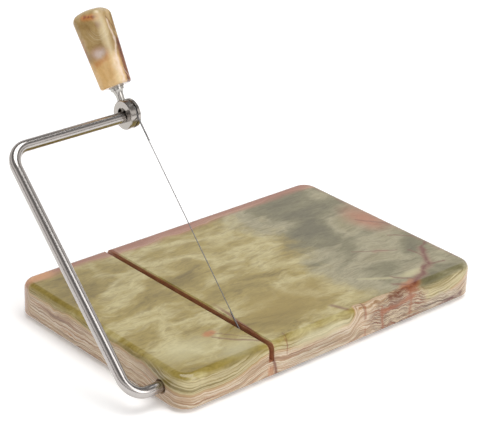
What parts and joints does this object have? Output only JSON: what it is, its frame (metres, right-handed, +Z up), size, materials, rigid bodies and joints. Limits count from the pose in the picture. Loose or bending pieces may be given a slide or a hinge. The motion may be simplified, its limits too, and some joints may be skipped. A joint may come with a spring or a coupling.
{
  "type": "cheese wire cutter",
  "caption": "Stone cutting board with a groove, a hinged wire bow of bent rod, a taut cutting wire and a tapered stone handle on a clamp collar.",
  "frame": {"origin": "under the middle of the board, on the plane of the rubber feet's undersides", "axes": "+X along the board away from the end the bow enters, -Y towards the front edge, +Z up"},
  "size_m": [0.2203, 0.1484, 0.1508],
  "materials": {
    "board_stone": "polished banded onyx, pale green with brown and white bands",
    "feet_rubber": "matt moulded",
    "rod_steel": "drawn and polished stainless",
    "collar_steel": "turned and polished stainless",
    "pin_steel": "ground",
    "wire_steel": "drawn stainless wire",
    "pad_steel": "turned, darkened by use",
    "stem_steel": "turned and polished stainless",
    "washer_steel": "turned stainless",
    "handle_stone": "polished banded onyx, honey and tan"
  },
  "bodies": {
    "base": {"board": "board_stone", "feet": "feet_rubber"},
    "bow": {"bow_rod": "rod_steel", "collar": "collar_steel", "wire_pin": "pin_steel", "cutting_wire": "wire_steel"},
    "clamp_pad": {"thrust_pad": "pad_steel"},
    "grip": {"stem": "stem_steel", "washer": "washer_steel", "handle": "handle_stone"}
  },
  "joints": [
    {"name": "bow_pivot", "type": "hinge", "parent": "base", "child": "bow", "pos_m": [-0.1, -0.049, 0.0094], "axis": [1, 0, 0], "range_deg": [-42, 121]},
    {"name": "clamp_travel", "type": "slide", "parent": "bow", "child": "clamp_pad", "axis": [0, 0.5534, 0.8329], "range_m": [0, 0.0028]},
    {"name": "grip_turn", "type": "hinge", "parent": "clamp_pad", "child": "grip", "pos_m": [-0.0455, 0.04658, 0.10168], "axis": [0, 0.5534, 0.8329], "range_deg": [0, 1440.1]}
  ],
  "couplings": [
    {"joint": "grip_turn", "follows": "clamp_travel", "rad_per_m": 8976}
  ]
}
